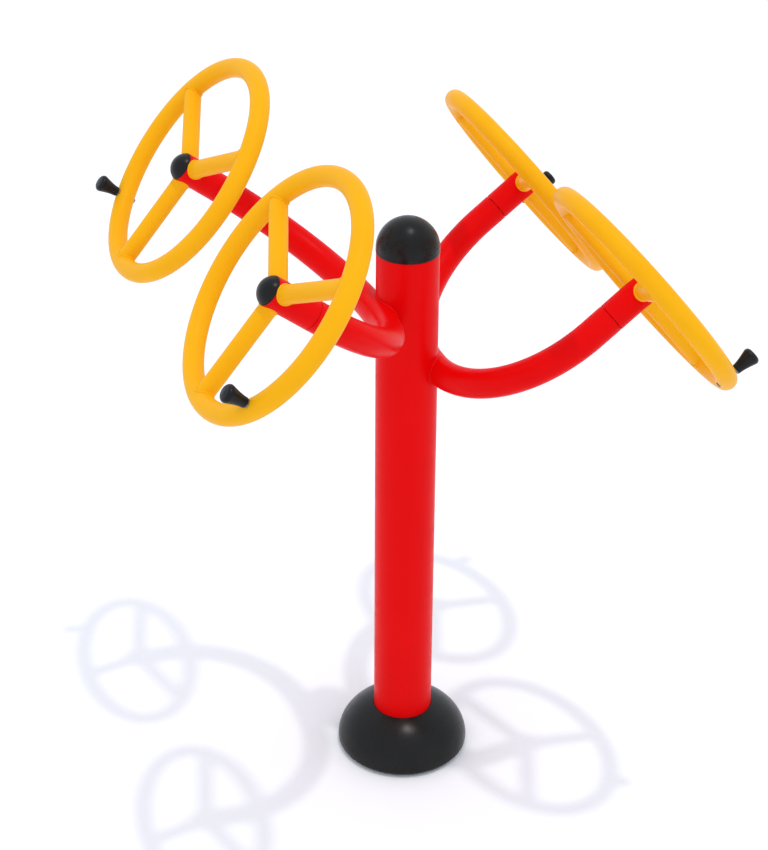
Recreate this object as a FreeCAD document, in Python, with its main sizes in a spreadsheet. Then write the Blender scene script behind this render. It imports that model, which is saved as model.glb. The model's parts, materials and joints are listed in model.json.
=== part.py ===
import FreeCAD, Part
import math
import os
import re
import Sketcher

# An outdoor arm-wheel exerciser: one post carries two bent arm tubes, and each arm tube
# carries two leaning hand wheels.  Millimetres, +Z up, origin on the ground at the post's
# axis.  The upper pair of wheels faces -X, the lower pair faces +X, the front is -Y.

SIZES = {
    # Post and base
    "post_diameter": 121,
    "post_wall": 4,
    "post_top": 1150,
    "flange_diameter": 230,
    "flange_thickness": 12,
    "flange_drain_diameter": 60,
    "anchor_circle": 180,
    "anchor_hole": 18,
    "gusset_thickness": 6,
    "gusset_top": 70,
    "gusset_toe": 10,
    "gusset_inset": 8,
    "cover_diameter": 273,
    "cover_top": 108,
    "cover_waist": 13,
    "cover_tuck": 32,
    "cover_wall": 3.5,
    "cover_clearance": 0.3,
    # Post cap
    "cap_overhang": 0.5,
    "cap_skirt": 8,
    "cap_wall": 3,
    "cap_spigot": 20,
    "cap_clearance": 0.2,
    # Arm tubes
    "arm_tube": 57,
    "arm_wall": 3,
    "arm_leg": 4,
    "weld_gap": 0.1,
    "wheel_tilt": 37.5,
    "upper_reach": 348,
    "upper_rise": 100,
    "upper_wheel_gap": 97,
    "upper_stand_off": 4.5,
    "upper_straight": 18,
    "lower_reach": 360,
    "lower_rise": -12,
    "lower_wheel_gap": 57,
    "lower_stand_off": -7.5,
    "lower_straight": 8,
    # Wheels
    "wheel_diameter": 483,
    "rim_tube": 38,
    "rim_wall": 2,
    "spoke_tube": 34,
    "spoke_wall": 2,
    "spoke_dish": 6,
    "spoke_embed": 4.75,
    "first_spoke": 60,
    # Hub
    "hub_front": 12,
    "seam_depth": 80,
    "seam_gap": 1,
    "sleeve_wall": 5,
    "bearing_bore": 20,
    "bearing_width": 14,
    "bearing_recess": 8,
    "bearing_fit": 0.02,
    "race_wall": 2.63,
    "inner_track_depth": 1.37,
    "outer_track_depth": 1.27,
    "ball_clearance": 0.15,
    "seat_shoulder": 3,
    "seal_thickness": 3,
    "seal_gap": 0.5,
    "seal_clearance": 0.1,
    "clip_thickness": 1.5,
    "clip_clearance": 0.1,
    "clip_depth": 1.3,
    "clip_reach": 2.7,
    "clip_opening": 24,
    # Spindle, spacer, nut and washer
    "plug_length": 14,
    "plug_clearance": 0.2,
    "shoulder_diameter": 26,
    "thread_diameter": 16,
    "thread_length": 19,
    "thread_clearance": 0.05,
    "washer_diameter": 30,
    "washer_thickness": 3,
    "nut_flats": 24,
    "nut_height": 13,
    # Hub cap
    "hub_cap_diameter": 61,
    "hub_cap_centre": 1.5,
    "hub_cap_wall": 2.5,
    "hub_cap_lip": 2,
    "hub_cap_spigot": 5.5,
    "hub_cap_clearance": 0.1,
    # Handle
    "knob_angle": 130,
    "stud_diameter": 10,
    "stud_tail": 2,
    "stud_collar": 17,
    "stud_collar_height": 2,
    "stud_head": 16,
    "stud_head_height": 3,
    "head_depth": 5,
    "handle_gap": 0.3,
    "knob_bore_clearance": 0.08,
    "knob_neck": 19.5,
    "knob_belly": 33,
    "knob_belly_drop": 9,
    "knob_shoulder": 7.5,
    "knob_crown": 21,
    "knob_length": 46,
    "end_plug_thickness": 3.5,
    "end_plug_dome": 1,
}

ANCHORS = 4
SPOKES = 3
BALLS = 8
PAIRS = {"upper": -1, "lower": 1}      # which way along X the pair of wheels faces
SIDES = {"front": -1, "back": 1}       # which way along Y the wheel stands

doc = FreeCAD.newDocument("ArmWheelStation")
sheet = doc.addObject("Spreadsheet::Sheet", "Sizes")
for row, (word, number) in enumerate(SIZES.items(), start=1):
    sheet.set(f"A{row}", word)
    sheet.set(f"B{row}", str(number))
    sheet.setAlias(f"B{row}", word)
doc.recompute()

# Derived sizes, written as formulas of the sheet's cells
POST_R = "(post_diameter / 2)"
FLANGE_R = "(flange_diameter / 2)"
ARM_R = "(arm_tube / 2)"
ARM_END = "(seam_depth + seam_gap)"
RIM_R = "((wheel_diameter - rim_tube) / 2)"
RIM_FACE = "(rim_tube / 2)"
SEAT_R = f"({ARM_R} - sleeve_wall)"
BORE_R = "(bearing_bore / 2)"
OUTER_FRONT = "(hub_front - bearing_recess)"
OUTER_BACK = f"({OUTER_FRONT} - bearing_width)"
INNER_BACK = "(-seam_depth + seal_thickness + seal_gap)"
INNER_FRONT = f"({INNER_BACK} + bearing_width)"
SHOULDER_R = "(shoulder_diameter / 2)"
THREAD_R = "(thread_diameter / 2)"
PITCH_R = f"(({SEAT_R} + {BORE_R}) / 2)"
BALL_TRACK = f"(({SEAT_R} - {BORE_R}) / 2 - race_wall)"
BALL_R = f"({BALL_TRACK} - ball_clearance)"
CLIP_GROOVE = "(clip_thickness + 2 * clip_clearance)"
STUD_R = "(stud_diameter / 2)"
COLLAR_BASE = f"({RIM_FACE} + handle_gap)"
COLLAR_TOP = f"({COLLAR_BASE} + stud_collar_height)"
KNOB_BASE = f"({COLLAR_TOP} + handle_gap)"
KNOB_END = f"({RIM_FACE} + knob_length)"
HEAD_TOP = f"({KNOB_END} - head_depth)"
HEAD_BASE = f"({HEAD_TOP} - stud_head_height)"
SOCKET_R = "(stud_head / 2 + handle_gap)"


def formula(text):
    """Point each plain word that is a size at its cell in the sheet."""
    return re.sub(r"[a-z_]+", lambda word: "Sizes." + word[0] if word[0] in SIZES else word[0], text)


def value(text):
    """What a formula comes to."""
    return float(sheet.evalExpression(formula(text)))


def pair_sizes(pair):
    """Formulas for where a pair's wheels and arm tube stand."""
    reach = f"{pair}_reach"
    offset = f"((wheel_diameter + {pair}_wheel_gap) / 2)"
    height = f"(post_top + {pair}_rise)"
    middle = f"({POST_R} + {pair}_stand_off)"
    depth = f"(({reach} - {middle}) / cos(wheel_tilt * 1deg))"
    bend = f"min({offset} - {pair}_straight; {depth} - {ARM_END} - arm_leg)"
    return {"reach": reach, "offset": offset, "height": height, "middle": middle,
            "depth": depth, "bend": bend}


# ---------------------------------------------------------------- drawing helpers

def primitive(kind, name, **formulas):
    """A Part primitive with its properties bound to the sheet."""
    thing = doc.addObject(f"Part::{kind}", name)
    for key, text in formulas.items():
        thing.setExpression(key, formula(text))
    return thing


def cut(name, base, *tools):
    """Base with each tool taken away in turn; the last cut has the name."""
    for number, tool in enumerate(tools, start=1):
        result = doc.addObject("Part::Cut", name if number == len(tools) else f"{name}_step{number}")
        result.Base = base
        result.Tool = tool
        base = result
    return base


def group(name, members):
    """Separate solids kept together as one sub-part."""
    result = doc.addObject("Part::Compound", name)
    result.Links = members
    return result


def origin_plane(body, role):
    return next(feature for feature in body.Origin.OriginFeatures if feature.Role == role)


def new_sketch(body, name, role):
    sketch = body.newObject("Sketcher::SketchObject", name)
    sketch.AttachmentSupport = (origin_plane(body, role), "")
    sketch.MapMode = "FlatFace"
    return sketch


def pin_point(sketch, edge, end, point):
    """Hold an edge's end at a point given by two formulas."""
    for kind, axis, text in (("DistanceX", -2, point[0]), ("DistanceY", -1, point[1])):
        if text == "0":
            sketch.addConstraint(Sketcher.Constraint("PointOnObject", edge, end, axis))
        else:
            rule = sketch.addConstraint(Sketcher.Constraint(kind, -1, 1, edge, end, value(text)))
            sketch.setExpression(f"Constraints[{rule}]", formula(text))


def arc_between(start, finish, radius, side):
    """The short arc from start to finish; side 1 has its centre on the left, -1 on the right."""
    chord = finish - start
    height = math.sqrt(radius ** 2 - (chord.Length / 2) ** 2)
    left = FreeCAD.Vector(-chord.y, chord.x, 0).normalize()
    centre = (start + finish) * 0.5 + left * (height * side)
    first, last = (start, finish) if side > 0 else (finish, start)
    angles = [math.atan2(p.y - centre.y, p.x - centre.x) for p in (first, last)]
    if angles[1] < angles[0]:
        angles[1] += 2 * math.pi
    return Part.ArcOfCircle(Part.Circle(centre, FreeCAD.Vector(0, 0, 1), radius), *angles)


def draw(sketch, points, closed=True):
    """Edges through points.  A point is (x, y), or (x, y, radius, side) where an arc arrives."""
    places = [FreeCAD.Vector(value(p[0]), value(p[1]), 0) for p in points]
    ends = []
    for number in range(0 if closed else 1, len(points)):
        point = points[number]
        start, finish = places[number - 1], places[number]
        if len(point) == 2:
            edge = sketch.addGeometry(Part.LineSegment(start, finish))
            ends.append((edge, 1, 2))
        else:
            edge = sketch.addGeometry(arc_between(start, finish, value(point[2]), point[3]))
            ends.append((edge, 1, 2) if point[3] > 0 else (edge, 2, 1))
            rule = sketch.addConstraint(Sketcher.Constraint("Radius", edge, value(point[2])))
            sketch.setExpression(f"Constraints[{rule}]", formula(point[2]))
        pin_point(sketch, edge, ends[-1][2], point)
    for before, after in zip(ends, ends[1:] + (ends[:1] if closed else [])):
        sketch.addConstraint(Sketcher.Constraint("Coincident", before[0], before[2], after[0], after[1]))
    if not closed:
        pin_point(sketch, ends[0][0], ends[0][1], points[0])


def turned(name, points, angle="360"):
    """A body turned about its own Z from a closed outline of (radius, height) points."""
    body = doc.addObject("PartDesign::Body", name)
    sketch = new_sketch(body, f"{name}_outline", "XZ_Plane")
    draw(sketch, points)
    turn = body.newObject("PartDesign::Revolution", f"{name}_turn")
    turn.Profile = sketch
    turn.ReferenceAxis = (sketch, ["V_Axis"])
    turn.setExpression("Angle", formula(angle))
    sketch.Visibility = False
    return body


def ring(inner, outer, low, high):
    """The outline of a plain ring."""
    return [(inner, low), (outer, low), (outer, high), (inner, high)]


# ---------------------------------------------------------------- post and base

def make_post_tube():
    return turned("post_tube", ring(f"{POST_R} - post_wall", POST_R, "flange_thickness", "post_top"))


def make_post_cap():
    outer = f"{POST_R} + cap_overhang"
    inner = f"{outer} - cap_wall"
    spigot = f"{POST_R} - post_wall - cap_clearance"
    shoulder = "post_top + cap_skirt"
    return turned("post_cap", [
        (f"{spigot} - cap_wall", "post_top - cap_spigot"),
        (spigot, "post_top - cap_spigot"),
        (spigot, "post_top"),
        (outer, "post_top"),
        (outer, shoulder),
        ("0", f"{shoulder} + {outer}", outer, 1),
        ("0", f"{shoulder} + {inner}"),
        (inner, shoulder, inner, -1),
        (inner, "post_top + cap_wall"),
        (f"{spigot} - cap_wall", "post_top + cap_wall"),
    ])


def make_base_flange():
    body = turned("base_flange", ring("flange_drain_diameter / 2", FLANGE_R, "0", "flange_thickness"))
    sketch = new_sketch(body, "anchor_hole_outline", "XY_Plane")
    reach = "anchor_circle / 2 * cos(45deg)"
    circle = Part.Circle(FreeCAD.Vector(value(reach), value(reach), 0), FreeCAD.Vector(0, 0, 1),
                         value("anchor_hole / 2"))
    sketch.addGeometry(circle)
    pin_point(sketch, 0, 3, (reach, reach))
    rule = sketch.addConstraint(Sketcher.Constraint("Diameter", 0, value("anchor_hole")))
    sketch.setExpression(f"Constraints[{rule}]", formula("anchor_hole"))
    doc.recompute()
    before = body.Shape.Volume
    hole = body.newObject("PartDesign::Pocket", "anchor_hole_cut")
    hole.Profile = sketch
    hole.Type = "ThroughAll"
    hole.Reversed = True
    pattern = body.newObject("PartDesign::PolarPattern", "anchor_hole_pattern")
    pattern.Originals = [hole]
    pattern.Axis = (sketch, ["N_Axis"])
    pattern.Angle = 360
    pattern.Occurrences = ANCHORS
    body.Tip = pattern
    doc.recompute()
    drilled = ANCHORS * math.pi * value("anchor_hole / 2") ** 2 * value("flange_thickness")
    assert abs(before - body.Shape.Volume - drilled) < 1, "the anchor holes are not all cut"
    return body


def make_base_gussets():
    ribs = []
    for number in range(ANCHORS):
        body = doc.addObject("PartDesign::Body", f"gusset_{number + 1}")
        sketch = new_sketch(body, f"gusset_{number + 1}_outline", "XZ_Plane")
        heel = f"{POST_R} + weld_gap"
        toe = f"{FLANGE_R} - gusset_inset"
        draw(sketch, [(heel, "flange_thickness"), (toe, "flange_thickness"),
                      (toe, "flange_thickness + gusset_toe"), (heel, "gusset_top")])
        pad = body.newObject("PartDesign::Pad", f"gusset_{number + 1}_plate")
        pad.Profile = sketch
        pad.setExpression("Length", formula("gusset_thickness"))
        pad.Midplane = True
        turn = FreeCAD.Rotation(FreeCAD.Vector(0, 0, 1), 360 * number / ANCHORS)
        body.Placement = FreeCAD.Placement(FreeCAD.Vector(), turn)
        ribs.append(body)
    return group("base_gussets", ribs)


def make_base_cover():
    """The dome over the flange: widest at its waist, tucked in at the ground, open underneath."""
    shells = []
    for layer, inset in (("outside", "0"), ("inside", "cover_wall")):
        halves = []
        for half, rise, angles in (
                ("dome", f"(cover_top - cover_waist - {inset})", {"Angle1": "0"}),
                ("foot", f"(cover_tuck - {inset})",
                 {"Angle1": f"-asin(cover_waist / (cover_tuck - {inset}))", "Angle2": "0"})):
            ellipsoid = primitive("Ellipsoid", f"cover_{layer}_{half}", Radius1=rise,
                                  Radius2=f"cover_diameter / 2 - {inset}", **angles)
            ellipsoid.Placement.Base = FreeCAD.Vector(0, 0, value("cover_waist"))
            halves.append(ellipsoid)
        shell = doc.addObject("Part::Fuse", f"cover_{layer}")
        shell.Base, shell.Tool = halves
        shells.append(shell)
    collar = primitive("Cylinder", "cover_hole", Radius=f"{POST_R} + cover_clearance", Height="cover_top")
    return cut("base_cover", *shells, collar)


# ---------------------------------------------------------------- arm tubes

def arm_frame(pair):
    """The middle of a pair's arm tube, with local X along its legs."""
    facing = PAIRS[pair]
    sizes = pair_sizes(pair)
    drop = f"{sizes['depth']} * sin(wheel_tilt * 1deg)"
    place = FreeCAD.Vector(facing * value(sizes["middle"]), 0, value(f"{sizes['height']} - {drop}"))
    swing = FreeCAD.Rotation(FreeCAD.Vector(0, 0, 1), 0 if facing > 0 else 180)
    lean = FreeCAD.Rotation(FreeCAD.Vector(0, 1, 0), -value("wheel_tilt"))
    return FreeCAD.Placement(place, swing.multiply(lean))


def make_arm_tube(pair):
    """One tube bent to a C, fish-mouthed where it is welded against the post."""
    sizes = pair_sizes(pair)
    body = doc.addObject("PartDesign::Body", f"{pair}_arm_bend")
    section = new_sketch(body, f"{pair}_arm_section", "XZ_Plane")
    for radius in (ARM_R, f"{ARM_R} - arm_wall"):
        circle = Part.Circle(FreeCAD.Vector(), FreeCAD.Vector(0, 0, 1), value(radius))
        edge = section.addGeometry(circle)
        section.addConstraint(Sketcher.Constraint("Coincident", edge, 3, -1, 1))
        rule = section.addConstraint(Sketcher.Constraint("Radius", edge, value(radius)))
        section.setExpression(f"Constraints[{rule}]", formula(radius))
    path = new_sketch(body, f"{pair}_arm_path", "XY_Plane")
    draw(path, [("0", "0"),
                ("0", f"{sizes['offset']} - {sizes['bend']}"),
                (sizes["bend"], sizes["offset"], sizes["bend"], -1),
                (f"{sizes['depth']} - {ARM_END}", sizes["offset"])], closed=False)
    pipe = body.newObject("PartDesign::AdditivePipe", f"{pair}_arm_half")
    pipe.Profile = section
    pipe.Spine = (path, ["Edge1", "Edge2", "Edge3"])
    mirror = body.newObject("PartDesign::Mirrored", f"{pair}_arm_whole")
    mirror.Originals = [pipe]
    mirror.MirrorPlane = (origin_plane(body, "XZ_Plane"), [""])
    body.Tip = mirror
    body.Placement = arm_frame(pair)
    post = primitive("Cylinder", f"{pair}_arm_notch", Radius=f"{POST_R} + weld_gap", Height="post_top")
    return cut(f"{pair}_arm_tube", body, post)


# ---------------------------------------------------------------- wheel stations

def wheel_frame(pair, side):
    """A hub's centre, with local Z out along the wheel's axis and local X up its face."""
    facing = PAIRS[pair]
    sizes = pair_sizes(pair)
    place = FreeCAD.Vector(facing * value(sizes["reach"]), SIDES[side] * value(sizes["offset"]),
                           value(sizes["height"]))
    swing = FreeCAD.Rotation(FreeCAD.Vector(0, 0, 1), 0 if facing < 0 else 180)
    lean = FreeCAD.Rotation(FreeCAD.Vector(0, 1, 0), value("wheel_tilt") - 90)
    return FreeCAD.Placement(place, swing.multiply(lean))


def handle_angle(pair, side):
    """The handle's angle round the rim, low down on the side away from the other wheel."""
    return -PAIRS[pair] * SIDES[side] * value("knob_angle")


def handle_offset(pair, side):
    """From the hub's centre to the handle's axis on the rim's centreline."""
    angle = math.radians(handle_angle(pair, side))
    radius = value(RIM_R)
    return FreeCAD.Placement(FreeCAD.Vector(radius * math.cos(angle), radius * math.sin(angle), 0),
                             FreeCAD.Rotation())


def make_spindle(name):
    """The fixed axle: a plug in the arm tube's end, a shoulder, a bearing journal and a thread."""
    plug = f"{ARM_R} - arm_wall - plug_clearance"
    journal = f"{BORE_R} - bearing_fit"
    tip = f"{OUTER_FRONT} + thread_length"
    return turned(name, [
        ("0", f"-{ARM_END} - plug_length"),
        (plug, f"-{ARM_END} - plug_length"),
        (plug, f"-{ARM_END}"),
        (SHOULDER_R, f"-{ARM_END}"),
        (SHOULDER_R, INNER_BACK),
        (journal, INNER_BACK),
        (journal, OUTER_FRONT),
        (THREAD_R, OUTER_FRONT),
        (THREAD_R, tip),
        ("0", tip),
    ])


def race_outline(land, wall, low, high, side):
    """A race's section: land is the radius beside the ball track, wall its plain radius."""
    middle = f"({low} + {high}) / 2"
    half = f"sqrt(pow({BALL_TRACK}; 2) - pow({land} - {PITCH_R}; 2))"
    edge = [(land, f"{middle} + {half}"), (land, f"{middle} - {half}", BALL_TRACK, side)]
    return [(land, low), (wall, low), (wall, high), (land, high)] + edge


def make_bearing_inner_set(name):
    """Both inner races and the spacer tube that holds them apart on the spindle."""
    land = f"({BORE_R} + race_wall + inner_track_depth)"
    rear = turned(f"{name}_rear_race", race_outline(land, BORE_R, INNER_BACK, INNER_FRONT, 1))
    front = turned(f"{name}_front_race", race_outline(land, BORE_R, OUTER_BACK, OUTER_FRONT, 1))
    spacer = turned(f"{name}_spacer", ring(BORE_R, SHOULDER_R, INNER_FRONT, OUTER_BACK))
    return group(name, [rear, front, spacer])


def make_bearing_outer_set(name):
    """Both outer races and their balls, which turn inside the hub sleeve."""
    land = f"({SEAT_R} - race_wall - outer_track_depth)"
    wall = f"{SEAT_R} - bearing_fit"
    members = []
    for place, low, high in (("rear", INNER_BACK, INNER_FRONT), ("front", OUTER_BACK, OUTER_FRONT)):
        members.append(turned(f"{name}_{place}_race", race_outline(land, wall, low, high, -1)))
        for number in range(BALLS):
            ball = primitive("Sphere", f"{name}_{place}_ball{number + 1}", Radius=BALL_R)
            angle = 2 * math.pi * number / BALLS
            radius = value(PITCH_R)
            ball.Placement.Base = FreeCAD.Vector(radius * math.cos(angle), radius * math.sin(angle),
                                                 value(f"({low} + {high}) / 2"))
            members.append(ball)
    return group(name, members)


def make_lock_nut(name):
    """A hexagon nut and its washer on the spindle's thread."""
    hole = f"{THREAD_R} + thread_clearance"
    nut_base = f"{OUTER_FRONT} + washer_thickness"
    washer = turned(f"{name}_washer", ring(hole, "washer_diameter / 2", OUTER_FRONT, nut_base))
    block = primitive("Prism", f"{name}_block", Circumradius="nut_flats / 2 / cos(30deg)",
                      Height="nut_height")
    bore = primitive("Cylinder", f"{name}_bore", Radius=hole, Height="nut_height")
    for piece in (block, bore):
        piece.Placement.Base = FreeCAD.Vector(0, 0, value(nut_base))
    return group(name, [washer, cut(f"{name}_hexagon", block, bore)])


def make_hub_sleeve(name):
    """The turning hub: bearing seats at both ends, a clip groove, a smaller bore between."""
    groove_top = f"{OUTER_FRONT} + {CLIP_GROOVE}"
    waist = f"{SEAT_R} - seat_shoulder"
    groove = f"{SEAT_R} + clip_depth"
    return turned(name, [
        (SEAT_R, "-seam_depth"),
        (ARM_R, "-seam_depth"),
        (ARM_R, "hub_front"),
        (SEAT_R, "hub_front"),
        (SEAT_R, groove_top),
        (groove, groove_top),
        (groove, OUTER_FRONT),
        (SEAT_R, OUTER_FRONT),
        (SEAT_R, OUTER_BACK),
        (waist, OUTER_BACK),
        (waist, INNER_FRONT),
        (SEAT_R, INNER_FRONT),
    ])


def make_bearing_clip(name):
    """The spring clip in the sleeve's groove, open over a small angle."""
    low = f"{OUTER_FRONT} + clip_clearance"
    return turned(name, ring(f"{SEAT_R} - clip_reach", f"{SEAT_R} + clip_depth - clip_clearance",
                             low, f"{low} + clip_thickness"), "360 - clip_opening")


def make_seal_ring(name):
    """The rubber ring that closes the sleeve's inner end round the spindle's shoulder."""
    return turned(name, ring(f"{SHOULDER_R} + seal_clearance", f"{SEAT_R} - bearing_fit",
                             "-seam_depth", "-seam_depth + seal_thickness"))


def make_hub_cap(name):
    """The domed cap, pushed into the sleeve's front end."""
    spigot = f"{SEAT_R} - hub_cap_clearance"
    inside = f"{spigot} - hub_cap_wall"
    outer = "(hub_cap_diameter / 2)"
    inner = f"({outer} - hub_cap_wall)"
    rise = "(hub_front - hub_cap_centre)"
    ledge = "hub_front + hub_cap_lip"
    return turned(name, [
        (inside, "hub_front - hub_cap_spigot"),
        (spigot, "hub_front - hub_cap_spigot"),
        (spigot, "hub_front"),
        (f"sqrt(pow({outer}; 2) - pow({rise}; 2))", "hub_front"),
        ("0", f"hub_cap_centre + {outer}", outer, 1),
        ("0", f"hub_cap_centre + {inner}"),
        (f"sqrt(pow({inner}; 2) - pow({rise} + hub_cap_lip; 2))", ledge, inner, -1),
        (inside, ledge),
    ])


def make_rim(name, pair, side):
    """The hollow ring of the wheel, drilled through for the handle's stud."""
    outside = primitive("Torus", f"{name}_outside", Radius1=RIM_R, Radius2=RIM_FACE)
    inside = primitive("Torus", f"{name}_inside", Radius1=RIM_R, Radius2=f"{RIM_FACE} - rim_wall")
    hole = primitive("Cylinder", f"{name}_hole", Radius=f"{STUD_R} + thread_clearance",
                     Height="2 * rim_tube")
    hole.Placement = handle_offset(pair, side)
    hole.Placement.Base.z = -value("rim_tube")
    return cut(name, outside, inside, hole)


def make_spokes(name):
    """Three dished tubes, coped to the sleeve and to the rim."""
    start = f"(sqrt(pow({ARM_R}; 2) - pow(spoke_tube / 2; 2)) - spoke_embed)"
    rise = f"({RIM_R} - {start})"
    slope = math.degrees(math.atan2(value("spoke_dish"), value(rise)))
    tubes = []
    for number in range(SPOKES):
        spoke = f"{name}_{number + 1}"
        angle = value("first_spoke") + 360 * number / SPOKES
        spin = FreeCAD.Placement(FreeCAD.Vector(),
                                 FreeCAD.Rotation(FreeCAD.Vector(0, 0, 1), angle))
        run = FreeCAD.Placement(FreeCAD.Vector(value(start), 0, -value("spoke_dish")),
                                FreeCAD.Rotation(FreeCAD.Vector(0, 1, 0), 90 - slope))
        pieces = []
        for layer, radius in (("outside", "spoke_tube / 2"), ("inside", "spoke_tube / 2 - spoke_wall")):
            bar = primitive("Cylinder", f"{spoke}_{layer}", Radius=radius, Height=rise)
            bar.Placement = spin.multiply(run)
            pieces.append(bar)
        hub = primitive("Cylinder", f"{spoke}_hub_cope", Radius=f"{ARM_R} + weld_gap",
                        Height="2 * seam_depth")
        hub.Placement.Base.z = -value("seam_depth")
        rim = primitive("Torus", f"{spoke}_rim_cope", Radius1=RIM_R, Radius2=f"{RIM_FACE} + weld_gap")
        tubes.append(cut(spoke, pieces[0], pieces[1], hub, rim))
    return group(name, tubes)


def make_handle_stud(name):
    """A stud welded through the rim, with a collar under the knob and a head inside it."""
    head = "stud_head / 2"
    collar = "stud_collar / 2"
    return turned(name, [
        ("0", f"-{RIM_FACE} - stud_tail"),
        (STUD_R, f"-{RIM_FACE} - stud_tail"),
        (STUD_R, COLLAR_BASE),
        (collar, COLLAR_BASE),
        (collar, COLLAR_TOP),
        (STUD_R, COLLAR_TOP),
        (STUD_R, HEAD_BASE),
        (head, HEAD_BASE),
        (head, HEAD_TOP),
        ("0", HEAD_TOP),
    ])


def make_handle_knob(name):
    """The plastic grip: a cone that widens from the rim to a flat end, free to spin on the stud."""
    bore = f"{STUD_R} + knob_bore_clearance"
    return turned(name, [
        (bore, KNOB_BASE),
        ("knob_neck / 2", KNOB_BASE),
        ("knob_belly / 2", f"{KNOB_END} - knob_belly_drop"),
        ("knob_crown / 2", KNOB_END, "knob_shoulder", 1),
        (SOCKET_R, KNOB_END),
        (SOCKET_R, f"{HEAD_BASE} - handle_gap"),
        (bore, f"{HEAD_BASE} - handle_gap"),
    ])


def make_knob_end_plug(name):
    """The small domed plug over the stud's head."""
    radius = f"({SOCKET_R} - knob_bore_clearance)"
    bottom = f"{KNOB_END} - end_plug_thickness"
    dome = f"(pow({radius}; 2) + pow(end_plug_dome; 2)) / 2 / end_plug_dome"
    return turned(name, [
        ("0", bottom),
        (radius, bottom),
        (radius, KNOB_END),
        ("0", f"{KNOB_END} + end_plug_dome", dome, 1),
    ])


def make_station(pair, side):
    """Every piece at one wheel, each placed on the wheel's axis."""
    tag = f"{pair}_{side}"
    on_axis = [
        make_spindle(f"{tag}_spindle"),
        make_bearing_inner_set(f"{tag}_bearing_inner_set"),
        make_lock_nut(f"{tag}_lock_nut"),
        make_hub_sleeve(f"{tag}_hub_sleeve"),
        make_bearing_outer_set(f"{tag}_bearing_outer_set"),
        make_bearing_clip(f"{tag}_bearing_clip"),
        make_seal_ring(f"{tag}_seal_ring"),
        make_hub_cap(f"{tag}_hub_cap"),
        make_rim(f"{tag}_rim", pair, side),
        make_spokes(f"{tag}_spokes"),
    ]
    on_handle = [
        make_handle_stud(f"{tag}_handle_stud"),
        make_handle_knob(f"{tag}_handle_knob"),
        make_knob_end_plug(f"{tag}_knob_end_plug"),
    ]
    frame = wheel_frame(pair, side)
    for piece in on_axis:
        piece.Placement = frame
    for piece in on_handle:
        piece.Placement = frame.multiply(handle_offset(pair, side))
    return on_axis + on_handle


# ---------------------------------------------------------------- build, check and write

subparts = [make_post_tube(), make_post_cap(), make_base_flange(), make_base_gussets(), make_base_cover()]
for pair_name in PAIRS:
    subparts.append(make_arm_tube(pair_name))
    for side_name in SIDES:
        subparts += make_station(pair_name, side_name)
doc.recompute()

for item in doc.Objects:
    assert not {"Invalid", "Error"} & set(item.State), f"{item.Name} did not build"
for subpart in subparts:
    subpart.Label = subpart.Name
    assert not subpart.Shape.isNull() and subpart.Shape.isValid(), f"{subpart.Name} is not a valid shape"
    assert subpart.Shape.Solids, f"{subpart.Name} holds no solid"

os.makedirs("parts", exist_ok=True)
for subpart in subparts:
    subpart.Shape.exportStep(f"parts/{subpart.Label}.step")
print(f"{len(subparts)} sub-parts written")
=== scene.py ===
import json
import math

import bpy
from mathutils import Matrix, Vector


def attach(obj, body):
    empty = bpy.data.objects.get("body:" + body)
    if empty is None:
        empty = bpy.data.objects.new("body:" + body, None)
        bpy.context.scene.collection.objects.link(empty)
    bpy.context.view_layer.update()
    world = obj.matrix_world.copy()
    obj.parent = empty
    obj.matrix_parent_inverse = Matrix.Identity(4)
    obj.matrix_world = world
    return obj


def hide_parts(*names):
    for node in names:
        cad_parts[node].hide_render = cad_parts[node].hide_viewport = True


# An outdoor arm-wheel exerciser: a red post with two bent arm tubes, four leaning yellow hand
# wheels, and black plastic caps, handles and base cover.  Metres, in the CAD's own frame.

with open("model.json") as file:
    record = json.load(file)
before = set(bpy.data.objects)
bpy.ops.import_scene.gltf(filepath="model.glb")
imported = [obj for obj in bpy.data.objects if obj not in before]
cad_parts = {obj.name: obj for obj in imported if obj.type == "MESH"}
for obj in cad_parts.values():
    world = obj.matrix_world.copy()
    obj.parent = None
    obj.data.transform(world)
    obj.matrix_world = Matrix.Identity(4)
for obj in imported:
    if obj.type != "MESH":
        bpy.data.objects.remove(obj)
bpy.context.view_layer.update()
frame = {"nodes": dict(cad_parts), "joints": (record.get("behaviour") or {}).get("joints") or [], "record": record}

# ------------------------------------------------------------------ sizes, as in the CAD

PAIRS = ("upper", "lower")
SIDES = ("front", "back")

POST_R = 0.0605
POST_WALL = 0.004
POST_FOOT = 0.012
POST_TOP = 1.150
CAP_R = 0.061
CAP_SKIRT = 0.008
CAP_WALL = 0.003
CAP_SPIGOT_R = 0.0563
CAP_SPIGOT = 0.020
COVER_R = 0.1365
COVER_TOP = 0.108
COVER_WAIST = 0.013
COVER_TUCK = 0.032
COVER_WALL = 0.0035
COVER_GAP = 0.0003
ARM_R = 0.0285
ARM_WALL = 0.003
ARM_END = 0.081
ARM_LEG = 0.004
ARM_MIDDLE = {"upper": 0.065, "lower": 0.053}
ARM_STRAIGHT = {"upper": 0.018, "lower": 0.008}
SEAM = 0.080
HUB_FRONT = 0.012
SEAT_R = 0.0235
SEAT_SHOULDER = 0.003
FRONT_SEAT = -0.010
REAR_SEAT = -0.0625
RIM_R = 0.2225
RIM_TUBE_R = 0.019
SPOKE_R = 0.017
SPOKE_WALL = 0.002
SPOKE_DISH = 0.006
SPOKE_START = 0.01812
SPOKE_ANGLES = (60, 180, 300)
HUB_CAP_R = 0.0305
HUB_CAP_CENTRE = 0.0015
HUB_CAP_WALL = 0.0025
HUB_CAP_SPIGOT = 0.0055
HUB_CAP_LIP = 0.002
STUD_BORE = 0.00508
SOCKET_R = 0.0083
KNOB_BASE = 0.0216
KNOB_END = 0.065
KNOB_SHELF = 0.0567
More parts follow.
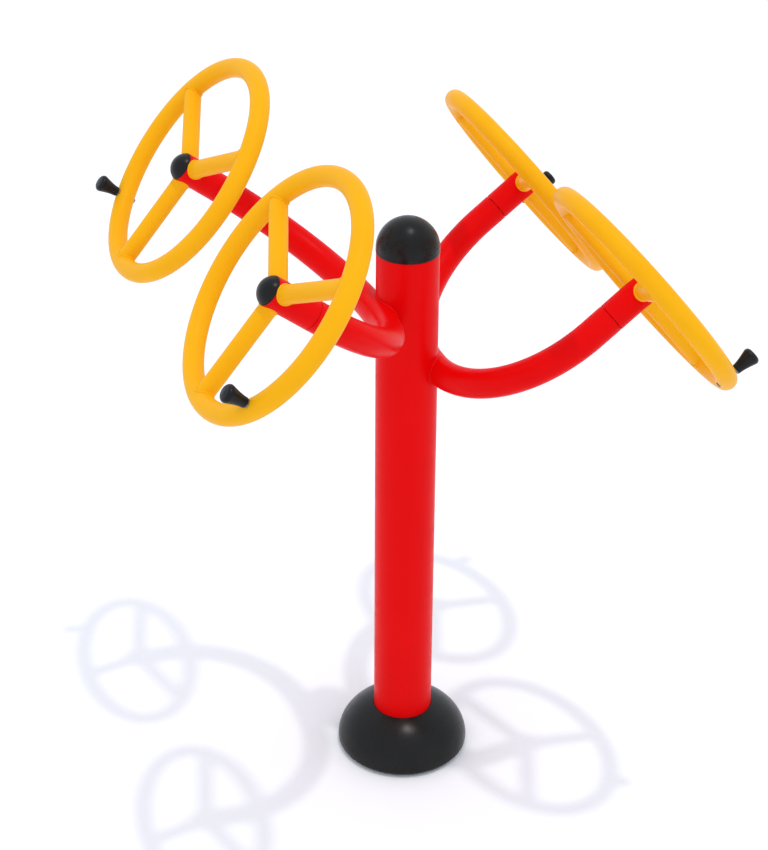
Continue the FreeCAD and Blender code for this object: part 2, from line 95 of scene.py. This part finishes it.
KNOB_NECK_R = 0.00975
KNOB_BELLY_R = 0.0165
KNOB_BELLY = 0.056
KNOB_CROWN_R = 0.0105
KNOB_SHOULDER = 0.0075
KNOB_WAIST = 0.0014

# Finish that the CAD leaves out: weld beads, and a hair's gap between a cap and its tube
ARM_WELD = 0.0032
HUB_WELD = 0.0022
RIM_WELD = 0.0026
SKIN = 0.0001

# ------------------------------------------------------------------ meshes


def add_piece(name, vertices, faces, body, slot, material, replaced=()):
    """A smooth mesh that rides on a body and has its material; the slot argument is not used."""
    mesh = bpy.data.meshes.new(name)
    mesh.from_pydata([tuple(v) for v in vertices], [], faces)
    mesh.validate()
    piece = bpy.data.objects.new(name, mesh)
    bpy.context.scene.collection.objects.link(piece)
    mesh.materials.append(material)
    for polygon in mesh.polygons:
        polygon.use_smooth = True
    mesh.set_sharp_from_angle(angle=math.radians(40))
    if body:
        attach(piece, body)
    if replaced:
        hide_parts(*replaced)
    return piece


def ring_faces(rings, around, closed_along=False):
    """Quads between successive rings of vertices; a ring is a list of indices, one long at a pole."""
    faces = []
    pairs = list(zip(rings, rings[1:] + rings[:1])) if closed_along else list(zip(rings, rings[1:]))
    for first, second in pairs:
        for k in range(around):
            n = (k + 1) % around
            corners = [first[k % len(first)], first[n % len(first)],
                       second[n % len(second)], second[k % len(second)]]
            face = list(dict.fromkeys(corners))
            if len(face) > 2:
                faces.append(face)
    return faces


def rounded(points, steps=5):
    """An outline of (radius, height) with its corners rounded where a third number gives a radius."""
    path = []
    for number, point in enumerate(points):
        here = Vector(point[:2])
        turn = point[2] if len(point) > 2 else 0
        if not turn or number in (0, len(points) - 1):
            path.append(here)
            continue
        before = (Vector(points[number - 1][:2]) - here)
        after = (Vector(points[number + 1][:2]) - here)
        angle = before.angle(after)
        cut_back = min(turn / math.tan(angle / 2), before.length * 0.49, after.length * 0.49)
        radius = cut_back * math.tan(angle / 2)
        start = here + before.normalized() * cut_back
        finish = here + after.normalized() * cut_back
        inward = (before.normalized() + after.normalized()).normalized()
        centre = here + inward * (radius / math.sin(angle / 2))
        for k in range(steps + 1):
            spoke = (start - centre).lerp(finish - centre, k / steps).normalized() * radius
            path.append(centre + spoke)
    return path


def arc(centre, radius, first, last, steps):
    """Points on an arc in the outline's plane, angles in degrees from the radius axis."""
    return [(centre[0] + radius * math.cos(math.radians(first + (last - first) * k / steps)),
             centre[1] + radius * math.sin(math.radians(first + (last - first) * k / steps)))
            for k in range(steps + 1)]


def lathe(outline, place, around=96, closed=True):
    """Vertices and faces of a (radius, height) outline turned about the local Z of place."""
    vertices, rings = [], []
    for radius, height in (tuple(p) for p in outline):
        count = 1 if radius < 1e-7 else around
        ring = []
        for k in range(count):
            angle = 2 * math.pi * k / around
            ring.append(len(vertices))
            vertices.append(place @ Vector((radius * math.cos(angle), radius * math.sin(angle), height)))
        rings.append(ring)
    return vertices, ring_faces(rings, around, closed_along=closed)


def along(path, radii, around=48, closed=False):
    """Vertices and faces of round rings strung along a path; radii has one radius for each point."""
    count = len(path)
    tangents = []
    for k in range(count):
        ahead = path[(k + 1) % count] if closed else path[min(k + 1, count - 1)]
        behind = path[k - 1] if closed or k else path[0]
        tangents.append((ahead - behind).normalized())
    side = tangents[0].orthogonal().normalized()
    sides = [side]
    for before, after in zip(tangents, tangents[1:]):
        side = before.rotation_difference(after) @ side
        sides.append((side - after * side.dot(after)).normalized())
    twist = 0
    if closed:
        last = tangents[-1].rotation_difference(tangents[0]) @ sides[-1]
        twist = math.atan2(last.cross(sides[0]).dot(tangents[0]), last.dot(sides[0]))
    vertices, rings = [], []
    for k in range(count):
        turned = Matrix.Rotation(twist * k / count, 3, tangents[k]) @ sides[k]
        other = tangents[k].cross(turned)
        ring = []
        for j in range(around):
            angle = 2 * math.pi * j / around
            ring.append(len(vertices))
            vertices.append(path[k] + (turned * math.cos(angle) + other * math.sin(angle)) * radii[k])
        rings.append(ring)
    return vertices, ring_faces(rings, around, closed_along=closed)


def joined(parts):
    """Several (vertices, faces) as one."""
    vertices, faces = [], []
    for some, more in parts:
        faces += [[i + len(vertices) for i in face] for face in more]
        vertices += some
    return vertices, faces


def weld_bead(curve, size, ripple, seed):
    """A round bead along a closed curve, its thickness rippled as a welder's passes leave it."""
    radii = []
    for k in range(len(curve)):
        turn = 2 * math.pi * k / len(curve)
        wave = 0.07 * math.sin(ripple * turn + seed) + 0.05 * math.sin(3 * turn + 2 * seed)
        radii.append(size * (1 + wave))
    return along(curve, radii, around=12, closed=True)


def bisect(test, low, high):
    """Where test changes from negative to positive between low and high."""
    for _ in range(40):
        middle = (low + high) / 2
        if test(middle) < 0:
            low = middle
        else:
            high = middle
    return (low + high) / 2


# ------------------------------------------------------------------ materials


class Nodes:
    """A short way to write a node material."""

    def __init__(self, name):
        self.material = bpy.data.materials.new(name)
        self.material.use_nodes = True
        self.tree = self.material.node_tree
        self.shader = self.tree.nodes["Principled BSDF"]
        self.place = self.add("ShaderNodeTexCoord").outputs["Object"]

    def add(self, kind, **values):
        node = self.tree.nodes.new(kind)
        for key, value in values.items():
            setattr(node, key, value)
        return node

    def link(self, source, target):
        self.tree.links.new(source, target)

    def noise(self, scale, detail=3.0, roughness=0.55, stretch=None):
        node = self.add("ShaderNodeTexNoise")
        node.inputs["Scale"].default_value = scale
        node.inputs["Detail"].default_value = detail
        node.inputs["Roughness"].default_value = roughness
        place = self.place
        if stretch:
            mapping = self.add("ShaderNodeMapping")
            mapping.inputs["Scale"].default_value = stretch
            self.link(self.place, mapping.inputs["Vector"])
            place = mapping.outputs["Vector"]
        self.link(place, node.inputs["Vector"])
        return node.outputs["Fac"]

    def remap(self, source, low, high, start=0.3, stop=0.7):
        node = self.add("ShaderNodeMapRange")
        node.inputs["From Min"].default_value = start
        node.inputs["From Max"].default_value = stop
        node.inputs["To Min"].default_value = low
        node.inputs["To Max"].default_value = high
        self.link(source, node.inputs["Value"])
        return node.outputs["Result"]

    def mix(self, factor, first, second):
        """Mix two colours, each a colour or a socket."""
        node = self.add("ShaderNodeMix", data_type="RGBA")
        self.link(factor, node.inputs["Factor"])
        for socket, colour in (("A", first), ("B", second)):
            target = [s for s in node.inputs if s.name == socket and s.type == "RGBA"][0]
            if isinstance(colour, bpy.types.NodeSocket):
                self.link(colour, target)
            else:
                target.default_value = (*colour, 1)
        return [s for s in node.outputs if s.type == "RGBA"][0]

    def bump(self, layers):
        """Bump from (height socket, distance) layers, coarse to fine."""
        normal = None
        for height, distance in layers:
            node = self.add("ShaderNodeBump")
            node.inputs["Strength"].default_value = 1.0
            node.inputs["Distance"].default_value = distance
            self.link(height, node.inputs["Height"])
            if normal:
                self.link(normal, node.inputs["Normal"])
            normal = node.outputs["Normal"]
        self.link(normal, self.shader.inputs["Normal"])

    def set(self, **values):
        for key, value in values.items():
            self.shader.inputs[key.replace("_", " ")].default_value = value


def powder_coat(name, colour, deep, pale, gloss):
    """Powder coat: soft orange peel, faint clouding in the colour and paler handled patches."""
    n = Nodes(name)
    clouds = n.remap(n.noise(9, 4), 0, 1, 0.35, 0.65)
    base = n.mix(clouds, colour, deep)
    scuffs = n.remap(n.noise(70, 6, 0.7), 0, 0.35, 0.60, 0.78)
    n.link(n.mix(scuffs, base, pale), n.shader.inputs["Base Color"])
    n.link(n.remap(n.noise(40, 5, 0.6), gloss - 0.05, gloss + 0.09), n.shader.inputs["Roughness"])
    n.bump([(n.noise(380, 2, 0.4), 0.00004)])
    n.set(Specular_IOR_Level=0.06)
    return n.material


def moulded_plastic(name, colour, pale, gloss, grain):
    """Moulded plastic: a shallow grain, faint flow marks and a gloss that varies a little."""
    n = Nodes(name)
    flow = n.remap(n.noise(14, 4, 0.6, stretch=(1, 1, 2.2)), 0, 1, 0.35, 0.7)
    n.link(n.mix(flow, colour, pale), n.shader.inputs["Base Color"])
    n.link(n.remap(n.noise(60, 5, 0.65), gloss - 0.05, gloss + 0.10), n.shader.inputs["Roughness"])
    n.bump([(n.noise(240, 2, 0.4), grain)])
    n.set(Specular_IOR_Level=0.22)
    return n.material


def plated_steel(name, colour, dark, rough):
    """Turned or plated steel: fine turning marks and cloudy plating."""
    n = Nodes(name)
    clouds = n.remap(n.noise(55, 4, 0.6), 0, 1, 0.3, 0.7)
    n.link(n.mix(clouds, colour, dark), n.shader.inputs["Base Color"])
    n.link(n.remap(n.noise(180, 4, 0.6), rough - 0.07, rough + 0.10), n.shader.inputs["Roughness"])
    n.bump([(n.noise(900, 2, 0.5, stretch=(1, 1, 6)), 0.00002)])
    n.set(Metallic=1.0)
    return n.material


def soft_rubber(name):
    """Dull black rubber with a fine grain."""
    n = Nodes(name)
    n.link(n.mix(n.remap(n.noise(90, 4), 0, 1), (0.018, 0.018, 0.018), (0.032, 0.031, 0.030)),
           n.shader.inputs["Base Color"])
    n.link(n.remap(n.noise(200, 3), 0.62, 0.8), n.shader.inputs["Roughness"])
    n.bump([(n.noise(1400, 2), 0.00003)])
    return n.material


MATERIALS = {
    "red_paint": powder_coat("red_powder_coat", (0.79, 0.0015, 0.002), (0.765, 0.001, 0.0015),
                             (0.81, 0.0025, 0.003), 0.34),
    "yellow_paint": powder_coat("yellow_powder_coat", (0.93, 0.44, 0.006), (0.91, 0.42, 0.005),
                                (0.94, 0.46, 0.010), 0.36),
    "black_plastic": moulded_plastic("black_plastic", (0.0050, 0.0045, 0.0040), (0.0075, 0.0070, 0.0065),
                                     0.27, 0.00001),
    "bearing_steel": plated_steel("bearing_steel", (0.62, 0.62, 0.63), (0.50, 0.50, 0.52), 0.24),
    # Zinc colour darkened well below bare plating so the stud's collar and tail read as dark as the shaded gap
    # between knob and rim: painted shade
    "zinc_steel": plated_steel("zinc_steel_darkened_as_painted_shade", (0.26, 0.26, 0.27), (0.16, 0.17, 0.18), 0.42),
    "seal_rubber": soft_rubber("seal_rubber"),
}
HANDLE_PLASTIC = moulded_plastic("handle_plastic", (0.0045, 0.0045, 0.0050), (0.0070, 0.0070, 0.0080),
                                 0.30, 0.00001)


def finish_cad_nodes():
    """Every carried-over CAD node gets its slot's material."""
    slots = {s["node"]: s["material_slot"] for s in frame["record"]["subparts"]}
    for name, node in frame["nodes"].items():
        node.data.materials.clear()
        node.data.materials.append(MATERIALS[slots[name]])


# ------------------------------------------------------------------ post, cap and base cover

GROUND = Matrix.Identity(4)


def make_post():
    """A tube with eased ends; its foot stands on the flange."""
    outline = rounded([
        (POST_R, (POST_FOOT + POST_TOP) / 2),
        (POST_R, POST_TOP, 0.0008),
        (POST_R - POST_WALL, POST_TOP, 0.0008),
        (POST_R - POST_WALL, POST_FOOT, 0.0005),
        (POST_R, POST_FOOT, 0.0005),
        (POST_R, (POST_FOOT + POST_TOP) / 2),
    ])[:-1]
    add_piece("post", *lathe(outline, GROUND, 160), "stand", "red_paint", MATERIALS["red_paint"],
              ("post_tube",))


def make_post_cap():
    """A tapered spigot, a short skirt with a shadow groove, and a dome."""
    lip = POST_TOP
    shoulder = lip + CAP_SKIRT
    inner = CAP_R - CAP_WALL
    groove = 0.0006
    outline = rounded([
        (CAP_SPIGOT_R - CAP_WALL, lip - CAP_SPIGOT),
        (CAP_SPIGOT_R - 0.001, lip - CAP_SPIGOT, 0.0006),
        (CAP_SPIGOT_R, lip - CAP_SPIGOT + 0.003),
        (CAP_SPIGOT_R, lip + SKIN),
        (CAP_R, lip + SKIN, 0.0009),
        (CAP_R, lip + 0.0050),
        (CAP_R - groove, lip + 0.0054, 0.0003),
        (CAP_R - groove, lip + 0.0062, 0.0003),
        (CAP_R, lip + 0.0066),
    ])
    outline += [Vector(p) for p in arc((0, shoulder), CAP_R, 0, 90, 40)]
    outline += [Vector(p) for p in arc((0, shoulder), inner, 90, 0, 24)]
    outline += [Vector((inner, lip + CAP_WALL)), Vector((CAP_SPIGOT_R - CAP_WALL, lip + CAP_WALL))]
    add_piece("post_dome_cap", *lathe(outline, GROUND, 128), "stand", "black_plastic",
              MATERIALS["black_plastic"], ("post_cap",))


def cover_side(inset, first, last, steps):
    """Points on the cover's side from one angle to another, in degrees from its waist."""
    points = []
    for k in range(steps + 1):
        angle = math.radians(first + (last - first) * k / steps)
        rise = (COVER_TOP - COVER_WAIST if angle > 0 else COVER_TUCK) - inset
        points.append(Vector(((COVER_R - inset) * math.cos(angle), COVER_WAIST + rise * math.sin(angle))))
    return points


def make_base_cover():
    """A domed shell, tucked in at its rolled foot, with a rolled collar round the post."""
    hole = POST_R + COVER_GAP
    top, inner_top = (math.degrees(math.acos(hole / (COVER_R - inset))) for inset in (0, COVER_WALL))
    foot, inner_foot = (-math.degrees(math.asin(COVER_WAIST / (COVER_TUCK - inset)))
                        for inset in (0, COVER_WALL))
    sole, inner_sole = (cover_side(inset, angle, angle, 1)[0].x
                        for inset, angle in ((0, foot), (COVER_WALL, inner_foot)))
    outer = cover_side(0, foot + 3.0, top - 1.2, 64)
    inner = cover_side(COVER_WALL, inner_top - 1, inner_foot + 1.6, 40)
    collar_low = cover_side(COVER_WALL, inner_top, inner_top, 1)[0].y
    collar = rounded([tuple(outer[-1]), (hole, outer[-1].y + 0.0012, 0.0009), (hole, collar_low)])
    edge = rounded([tuple(inner[-1]), (inner_sole, 0, 0.0008), (sole, 0, 0.0012), tuple(outer[0])])
    outline = outer + collar[1:] + inner + edge[1:-1]
    add_piece("base_dome_cover", *lathe(outline, GROUND, 160), "stand", "black_plastic",
              MATERIALS["black_plastic"], ("base_cover",))


# ------------------------------------------------------------------ arm tubes

JOINTS = {joint["name"]: joint for joint in frame["joints"]}


def joint_frame(name):
    """A joint's place with local Z along its axis and local X up the wheel's face."""
    joint = JOINTS[name]
    axis = Vector(joint["axis"]).normalized()
    up = (Vector((0, 0, 1)) - axis * axis.z).normalized()
    side = axis.cross(up)
    place = Matrix((up, side, axis)).transposed().to_4x4()
    place.translation = Vector(joint["pos_m"])
    return place


class Arm:
    """One bent tube: its centre line lies in the plane of both hubs' axes."""

    def __init__(self, pair):
        self.pair = pair
        hub = joint_frame(f"{pair}_back_wheel_spin")
        self.axis = hub.col[2].xyz
        self.offset = hub.translation.y
        self.depth = (abs(hub.translation.x) - ARM_MIDDLE[pair]) / abs(self.axis.x)
        self.middle = hub.translation - self.axis * self.depth
        self.middle.y = 0
        self.bend = min(self.offset - ARM_STRAIGHT[pair], self.depth - ARM_END - ARM_LEG)
        self.straight = self.offset - self.bend
        self.leg = self.depth - ARM_END - self.bend
        self.length = self.straight + self.bend * math.pi / 2 + self.leg

    def point(self, distance):
        """The centre line at a distance from the middle; negative distances go to the front."""
        side = 1 if distance >= 0 else -1
        run = abs(distance)
        if run <= self.straight:
            across, out = run, 0
        elif run <= self.straight + self.bend * math.pi / 2:
            angle = (run - self.straight) / self.bend
            across = self.straight + self.bend * math.sin(angle)
            out = self.bend * (1 - math.cos(angle))
        else:
            across = self.offset
            out = self.bend + run - self.straight - self.bend * math.pi / 2
        return self.middle + self.axis * out + Vector((0, side * across, 0))

    def surface(self, distance, angle, radius=ARM_R):
        """A point of the tube's surface; the angle goes round the centre line from its plane."""
        step = 1e-5
        tangent = (self.point(distance + step) - self.point(distance - step)).normalized()
        flat = self.axis.cross(Vector((0, 1, 0))).normalized()
        inward = tangent.cross(flat).normalized()
        return self.point(distance) + (inward * math.cos(angle) + flat * math.sin(angle)) * radius


def cut_by_post(piece):
    """Takes a cylinder as wide as the post, and longer than the arms are tall, out of a piece."""
    low, high = 0.3, 1.4
    outline = [(0, low), (POST_R, low), (POST_R, high), (0, high)]
    vertices, faces = lathe(outline, GROUND, 160, closed=False)
    mesh = bpy.data.meshes.new("cutter")
    mesh.from_pydata([tuple(v) for v in vertices], [], faces)
    cutter = bpy.data.objects.new("cutter", mesh)
    bpy.context.scene.collection.objects.link(cutter)
    boolean = piece.modifiers.new("cope", "BOOLEAN")
    boolean.operation = "DIFFERENCE"
    boolean.solver = "EXACT"
    boolean.object = cutter
    bpy.context.view_layer.update()
    shaped = bpy.data.meshes.new_from_object(piece.evaluated_get(bpy.context.evaluated_depsgraph_get()))
    piece.modifiers.clear()
    piece.data = shaped
    bpy.data.objects.remove(cutter)
    shaped.set_sharp_from_angle(angle=math.radians(40))


def make_arm(pair):
    """The bent tube with eased ends, coped to the post, and its weld."""
    arm = Arm(pair)
    count = 150
    edge = 0.0009
    end = arm.length
    stops = [-end + edge + (2 * end - 2 * edge) * k / count for k in range(count + 1)]
    outer = [(-end, ARM_R - edge)] + [(stop, ARM_R) for stop in stops] + [(end, ARM_R - edge)]
    inner_r = ARM_R - ARM_WALL
    inner = [(end, inner_r)] + [(stop, inner_r) for stop in reversed(stops)] + [(-end, inner_r)]
    vertices, rings = [], []
    around = 72
    for stop, radius in outer + inner:
        ring = []
        for k in range(around):
            ring.append(len(vertices))
            vertices.append(arm.surface(stop, 2 * math.pi * k / around, radius))
        rings.append(ring)
    faces = ring_faces(rings, around, closed_along=True)
    piece = add_piece(f"{pair}_arm", vertices, faces, "stand", "red_paint", MATERIALS["red_paint"],
                      (f"{pair}_arm_tube",))
    cut_by_post(piece)
    make_arm_weld(arm)


def make_arm_weld(arm):
    """The bead where the arm tube is welded against the post, all round the cope."""

    def outside(distance, angle):
        return arm.surface(distance, angle).xy.length - POST_R

    steps = 360
    angles = [2 * math.pi * k / steps for k in range(steps)]
    inside = [angle for angle in angles if outside(0, angle) < 0]
    middle = Vector((sum(math.cos(a) for a in inside), sum(math.sin(a) for a in inside)))
    centre = math.atan2(middle.y, middle.x)
    low = centre - bisect(lambda a: outside(0, centre - a), 0, math.pi * 0.98)
    high = centre + bisect(lambda a: outside(0, centre + a), 0, math.pi * 0.98)
    half = []
    for k in range(61):
        share = (1 - math.cos(math.pi * k / 60)) / 2
        angle = low + (high - low) * share
        reach = 0.0 if k in (0, 60) else bisect(lambda s: outside(s, angle), 0, 0.14)
        half.append((reach, angle))
    loop = [arm.surface(s, a) for s, a in half] + [arm.surface(-s, a) for s, a in reversed(half[1:-1])]
    curve = even_loop(loop, 150)
    add_piece(f"{arm.pair}_arm_weld", *weld_bead(curve, ARM_WELD, 44, 1.3), "stand", "red_paint",
              MATERIALS["red_paint"])


def even_loop(points, count):
    """The same closed curve with evenly spaced points."""
    lengths = [0.0]
    for before, after in zip(points, points[1:] + points[:1]):
        lengths.append(lengths[-1] + (after - before).length)
    result, place = [], 0
    for k in range(count):
        goal = lengths[-1] * k / count
        while lengths[place + 1] < goal:
            place += 1
        share = (goal - lengths[place]) / max(lengths[place + 1] - lengths[place], 1e-9)
        result.append(points[place].lerp(points[(place + 1) % len(points)], share))
    return result


# ------------------------------------------------------------------ wheels


def make_rim(tag, place):
    """A round tube bent to a ring."""
    around = 240
    path = [place @ Vector((RIM_R * math.cos(2 * math.pi * k / around),
                            RIM_R * math.sin(2 * math.pi * k / around), 0)) for k in range(around)]
    add_piece(f"{tag}_hand_rim", *along(path, [RIM_TUBE_R] * around, 48, closed=True), f"{tag}_wheel",
              "yellow_paint", MATERIALS["yellow_paint"], (f"{tag}_rim",))


def spoke_ends(angle, radius):
    """Where a spoke's surface meets the sleeve and the rim: two rings of local points."""
    turn = math.radians(angle)
    out = Vector((math.cos(turn), math.sin(turn), 0))
    start = out * SPOKE_START + Vector((0, 0, -SPOKE_DISH))
    run = out * RIM_R - start
    ahead = run.normalized()
    across = Vector((-math.sin(turn), math.cos(turn), 0))
    lift = ahead.cross(across)
    near, far = [], []
    for k in range(64):
        bearing = 2 * math.pi * k / 64
        foot = start + (across * math.cos(bearing) + lift * math.sin(bearing)) * radius
        hub = bisect(lambda t: (foot + ahead * t).xy.length - ARM_R, 0, 0.06)
        rim = bisect(lambda t: RIM_TUBE_R - math.hypot((foot + ahead * t).xy.length - RIM_R,
                                                       (foot + ahead * t).z), 0.1, run.length)
        near.append(foot + ahead * hub)
        far.append(foot + ahead * rim)
    return near, far


def make_spokes(tag, place):
    """Three coped tubes and, on each, a weld bead at the sleeve and one at the rim."""
    tubes, beads = [], []
    for number, angle in enumerate(SPOKE_ANGLES):
        near, far = spoke_ends(angle, SPOKE_R)
        inner_near, inner_far = spoke_ends(angle, SPOKE_R - SPOKE_WALL)
        rows = [near]
        rows += [[a.lerp(b, k / 24) for a, b in zip(near, far)] for k in range(1, 24)]
        rows += [far, inner_far, inner_near]
        vertices = [place @ point for row in rows for point in row]
        rings = [list(range(64 * k, 64 * (k + 1))) for k in range(len(rows))]
        tubes.append((vertices, ring_faces(rings, 64, closed_along=True)))
        for curve, size in ((near, HUB_WELD), (far, RIM_WELD)):
            loop = even_loop([place @ point for point in curve], 96)
            beads.append(weld_bead(loop, size, 26, number + size * 1000))
    add_piece(f"{tag}_spoke_tubes", *joined(tubes), f"{tag}_wheel", "yellow_paint",
              MATERIALS["yellow_paint"], (f"{tag}_spokes",))
    add_piece(f"{tag}_spoke_welds", *joined(beads), f"{tag}_wheel", "yellow_paint",
              MATERIALS["yellow_paint"])


def make_sleeve(tag, place):
    """The turning hub with eased ends and a bore that the bearings sit in."""
    waist = SEAT_R - SEAT_SHOULDER
    outline = rounded([
        (ARM_R, -SEAM / 2),
        (ARM_R, HUB_FRONT, 0.0008),
        (SEAT_R, HUB_FRONT, 0.0006),
        (SEAT_R, FRONT_SEAT),
        (waist, FRONT_SEAT),
        (waist, REAR_SEAT),
        (SEAT_R, REAR_SEAT),
        (SEAT_R, -SEAM, 0.0006),
        (ARM_R, -SEAM, 0.0008),
        (ARM_R, -SEAM / 2),
    ])[:-1]
    add_piece(f"{tag}_sleeve", *lathe(outline, place, 96), f"{tag}_wheel", "red_paint",
              MATERIALS["red_paint"], (f"{tag}_hub_sleeve",))


def make_hub_cap(tag, place):
    """A ball-shaped cap with an eased lip and a hollow spigot."""
    spigot = SEAT_R - SKIN
    rise = HUB_FRONT - HUB_CAP_CENTRE
    first = math.degrees(math.asin((rise + 0.0012) / HUB_CAP_R))
    dome = arc((0, HUB_CAP_CENTRE), HUB_CAP_R, first, 90, 40)
    inner_r = HUB_CAP_R - HUB_CAP_WALL
    inner_first = math.degrees(math.asin((rise + HUB_CAP_LIP) / inner_r))
    inner = arc((0, HUB_CAP_CENTRE), inner_r, 90, inner_first, 24)
    lip = rounded([
        (spigot - HUB_CAP_WALL, HUB_FRONT - HUB_CAP_SPIGOT),
        (spigot, HUB_FRONT - HUB_CAP_SPIGOT, 0.0005),
        (spigot, HUB_FRONT + SKIN),
        (dome[0][0] + SKIN, HUB_FRONT + SKIN, 0.0006),
        dome[0],
    ])
    ledge = (spigot - HUB_CAP_WALL, HUB_FRONT + HUB_CAP_LIP)
    outline = [tuple(p) for p in lip[:-1]] + dome + inner + [ledge]
    add_piece(f"{tag}_ball_cap", *lathe(outline, place, 96), f"{tag}_wheel", "black_plastic",
              MATERIALS["black_plastic"], (f"{tag}_hub_cap",))


def knob_flank(share):
    """A point on the knob's drawn-in side, from its neck at 0 to its belly at 1."""
    radius = KNOB_NECK_R + (KNOB_BELLY_R - KNOB_NECK_R) * share
    return (radius - KNOB_WAIST * math.sin(math.pi * share ** 0.7),
            KNOB_BASE + (KNOB_BELLY - KNOB_BASE) * share)


def make_knob(tag, place):
    """The grip: it flares from its neck to a round shoulder, with a flat end round the plug."""
    belly, crown = Vector((KNOB_BELLY_R, KNOB_BELLY)), Vector((KNOB_CROWN_R, KNOB_END))
    middle, chord = (belly + crown) / 2, crown - belly
    sink = math.sqrt(KNOB_SHOULDER ** 2 - chord.length_squared / 4)
    centre = middle - Vector((chord.y, -chord.x)).normalized() * sink
    first, last = (math.degrees(math.atan2(p.y - centre.y, p.x - centre.x)) for p in (belly, crown))
    outline = rounded([(STUD_BORE, KNOB_BASE), (KNOB_NECK_R - 0.0006, KNOB_BASE, 0.0008)]
                      + [knob_flank(k / 16) for k in range(1, 16)] + [tuple(belly)])
    outline += [Vector(p) for p in arc(centre, KNOB_SHOULDER, first, last, 12)]
    outline += rounded([tuple(crown), (SOCKET_R, KNOB_END, 0.0005), (SOCKET_R, KNOB_SHELF),
                        (STUD_BORE, KNOB_SHELF)])[1:]
    add_piece(f"{tag}_grip", *lathe(outline, place, 72), f"{tag}_knob", "black_plastic",
              HANDLE_PLASTIC, (f"{tag}_handle_knob",))


def make_wheel(tag):
    """Everything that turns at one hub, with the handle on its rim."""
    hub = joint_frame(f"{tag}_wheel_spin")
    handle = joint_frame(f"{tag}_knob_spin")
    make_rim(tag, hub)
    make_spokes(tag, hub)
    make_sleeve(tag, hub)
    make_hub_cap(tag, hub)
    make_knob(tag, handle)


# ------------------------------------------------------------------ floor, light and camera


def make_floor():
    """A plain pale floor."""
    n = Nodes("studio_floor")
    n.link(n.mix(n.remap(n.noise(3, 2), 0, 1), (0.93, 0.935, 0.95), (0.94, 0.945, 0.955)),
           n.shader.inputs["Base Color"])
    n.set(Roughness=0.9, Specular_IOR_Level=0.1)
    half = 14
    corners = [Vector((x * half, y * half, 0)) for x, y in ((-1, -1), (1, -1), (1, 1), (-1, 1))]
    floor = add_piece("floor", corners, [[0, 1, 2, 3]], None, None, n.material)


def make_light():
    """A pale sky all round and a soft sun from above the front, which draws the wheels' shadows."""
    world = bpy.data.worlds.new("studio")
    world.use_nodes = True
    world.node_tree.nodes["Background"].inputs["Color"].default_value = (0.87, 0.918, 1.0, 1)
    world.node_tree.nodes["Background"].inputs["Strength"].default_value = 1.075
    bpy.context.scene.world = world
    light = bpy.data.lights.new("key", "SUN")
    light.energy = 0.6
    light.angle = math.radians(1.6)
    light.color = (1.0, 0.98, 0.95)
    lamp = bpy.data.objects.new("key", light)
    lamp.rotation_mode = "QUATERNION"
    lamp.rotation_quaternion = Vector((-0.10, 0.14, -1)).to_track_quat("-Z", "Y")
    bpy.context.scene.collection.objects.link(lamp)
    bpy.context.scene.view_settings.view_transform = "Standard"


def make_camera():
    """The photograph's view: a long lens from the front left, 27.5 degrees above the ground."""
    turn, tilt, roll = math.radians(20.11), math.radians(27.53), math.radians(0.39)
    distance, slide, aim = 3.7485, -0.0391, 0.9465
    ahead = Vector((math.sin(turn) * math.cos(tilt), math.cos(turn) * math.cos(tilt), -math.sin(tilt)))
    right = Vector((math.cos(turn), -math.sin(turn), 0))
    up = right.cross(ahead)
    place = Vector((0, 0, aim)) + right * slide - ahead * distance
    right, up = right * math.cos(roll) + up * math.sin(roll), up * math.cos(roll) - right * math.sin(roll)
    data = bpy.data.cameras.new("camera")
    data.sensor_width = 36
    data.lens = 82.24
    data.shift_x = -0.0029
    data.shift_y = -0.0918
    camera = bpy.data.objects.new("camera", data)
    matrix = Matrix((right, up, -ahead)).transposed().to_4x4()
    matrix.translation = place
    camera.matrix_world = matrix
    bpy.context.scene.collection.objects.link(camera)
    bpy.context.scene.camera = camera


# ------------------------------------------------------------------ build

finish_cad_nodes()
make_post()
make_post_cap()
make_base_cover()
for pair_name in PAIRS:
    make_arm(pair_name)
    for side_name in SIDES:
        make_wheel(f"{pair_name}_{side_name}")
make_floor()
make_light()
make_camera()
